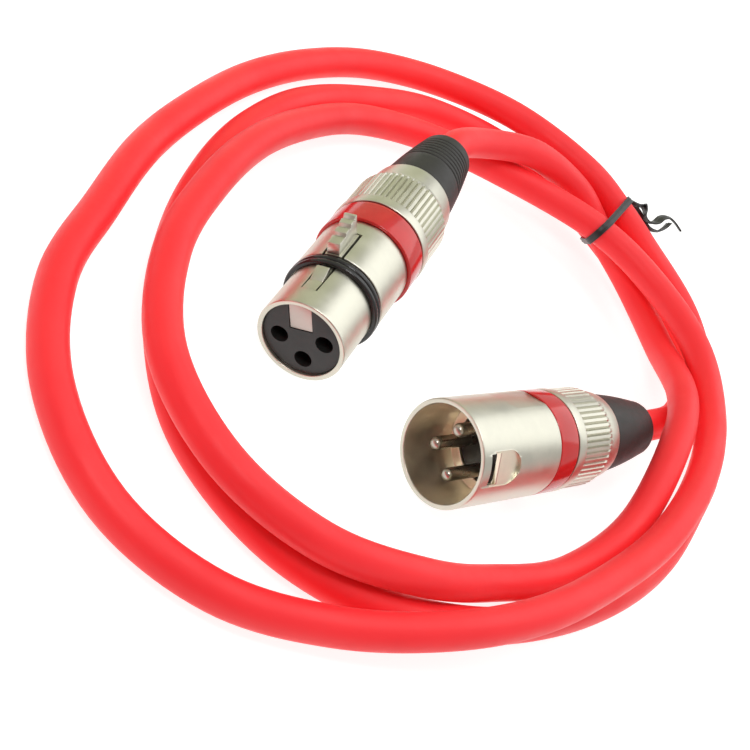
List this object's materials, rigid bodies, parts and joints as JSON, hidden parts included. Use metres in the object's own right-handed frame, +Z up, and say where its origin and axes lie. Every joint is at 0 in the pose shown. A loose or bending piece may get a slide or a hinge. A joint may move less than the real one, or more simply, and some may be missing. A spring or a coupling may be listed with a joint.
{
  "type": "xlr cable coil",
  "caption": "Coiled balanced microphone cable, tied with a wire tie, with a female latching connector on one end and a male pin connector on the other.",
  "frame": {"origin": "on the surface the coil lies on, under the middle of the footprint of the two connectors", "axes": "+Z up from that surface; +X along the male connector from its mating face to its boot; +Y to the side where the female connector's boot points"},
  "size_m": [0.1778, 0.1327, 0.0216],
  "materials": {
    "satin_nickel": "satin nickel plate on zinc die casting",
    "contact_plate": "bright nickel plate on brass",
    "spring_brass": "rolled leaf",
    "copper": "twisted bare strands",
    "red_plastic": "glossy moulded plastic",
    "red_jacket": "satin soft PVC jacket",
    "black_rubber": "soft moulded elastomer",
    "black_insulator": "glass filled moulding",
    "white_plastic": "moulded acetal",
    "white_insulation": "extruded insulation",
    "blue_insulation": "extruded insulation",
    "tie_plastic": "plastic coated wire strip"
  },
  "bodies": {
    "coil": {"male_shell": "satin_nickel", "male_insert": "black_insulator", "male_pin_1": "contact_plate", "male_pin_2": "contact_plate", "male_pin_3": "contact_plate", "male_coding_ring": "red_plastic", "male_drain_wire": "copper", "male_core_a": "white_insulation", "male_core_b": "blue_insulation", "male_chuck": "white_plastic", "female_shell": "satin_nickel", "female_latch_spring": "spring_brass", "female_insert": "black_insulator", "female_face_key": "contact_plate", "female_contact_1": "contact_plate", "female_contact_2": "contact_plate", "female_contact_3": "contact_plate", "female_seal_ring": "black_rubber", "female_coding_ring": "red_plastic", "female_drain_wire": "copper", "female_core_a": "white_insulation", "female_core_b": "blue_insulation", "female_chuck": "white_plastic", "cable": "red_jacket", "twist_tie": "tie_plastic"},
    "male_boot": {"male_boot": "black_rubber"},
    "male_back_nut": {"male_back_nut": "satin_nickel"},
    "female_boot": {"female_boot": "black_rubber"},
    "female_back_nut": {"female_back_nut": "satin_nickel"},
    "female_latch": {"female_latch": "satin_nickel"}
  },
  "joints": [
    {"name": "male_boot_slide", "type": "slide", "parent": "coil", "child": "male_boot", "axis": [1, 0, 0], "range_m": [0, 0.0025]},
    {"name": "male_nut_turn", "type": "hinge", "parent": "male_boot", "child": "male_back_nut", "pos_m": [0.0128, -0.028, 0.0095], "axis": [1, 0, 0], "range_deg": [0, 900]},
    {"name": "female_boot_slide", "type": "slide", "parent": "coil", "child": "female_boot", "axis": [0.8176, 0.5662, 0.1045], "range_m": [0, 0.0025]},
    {"name": "female_nut_turn", "type": "hinge", "parent": "female_boot", "child": "female_back_nut", "pos_m": [-0.0079, 0.01525, 0.01155], "axis": [0.8176, 0.5662, 0.1045], "range_deg": [0, 900]},
    {"name": "latch_press", "type": "hinge", "parent": "coil", "child": "female_latch", "pos_m": [-0.03522, 0.00193, 0.01422], "axis": [-0.392, 0.6805, -0.6191], "range_deg": [0, 5], "stiffness_Nm_per_rad": 0.5}
  ],
  "couplings": [
    {"joint": "male_nut_turn", "follows": "male_boot_slide", "rad_per_m": 6283.2},
    {"joint": "female_nut_turn", "follows": "female_boot_slide", "rad_per_m": 6283.2}
  ]
}
